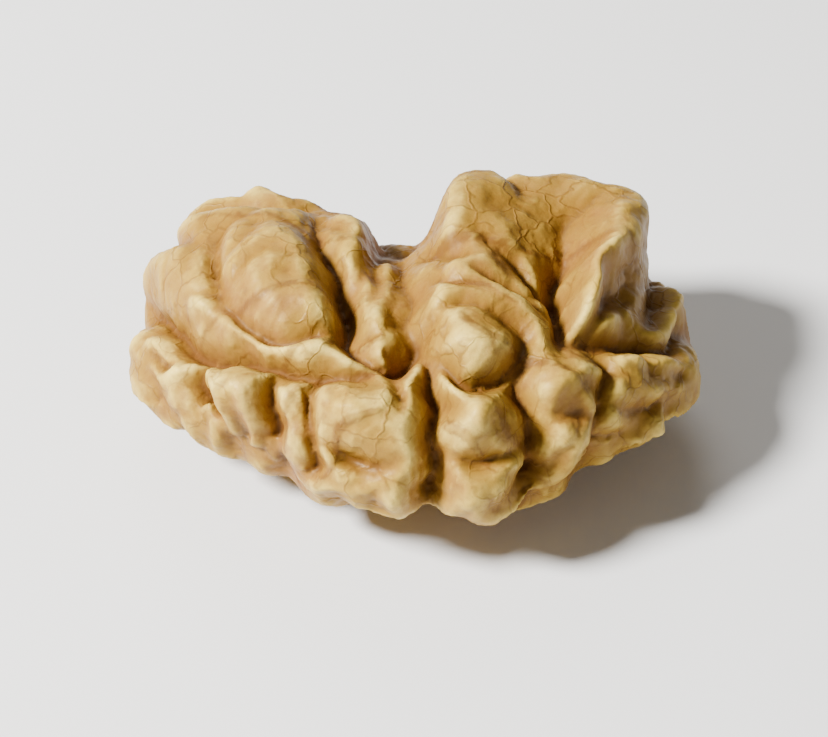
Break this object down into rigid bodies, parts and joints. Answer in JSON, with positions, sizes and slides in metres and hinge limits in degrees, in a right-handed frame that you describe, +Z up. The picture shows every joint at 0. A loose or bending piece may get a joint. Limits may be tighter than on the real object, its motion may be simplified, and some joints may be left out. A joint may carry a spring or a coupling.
{
  "type": "walnut kernel",
  "caption": "Shelled walnut half with folded, brain-like wings joined by a sunken bridge, a notch at the stem end and a flatter inner side to lie on.",
  "frame": {"origin": "on the surface the kernel lies on, under the middle of its bounding box", "axes": "+X across the two wings, +Y towards the stem-end notch, +Z up out of the rounded outer side"},
  "size_m": [0.0298, 0.0222, 0.012],
  "materials": {
    "kernel_skin": "satin, thin golden tan skin with darker brown creases and veins"
  },
  "bodies": {
    "root": {"kernel": "kernel_skin"}
  },
  "joints": []
}
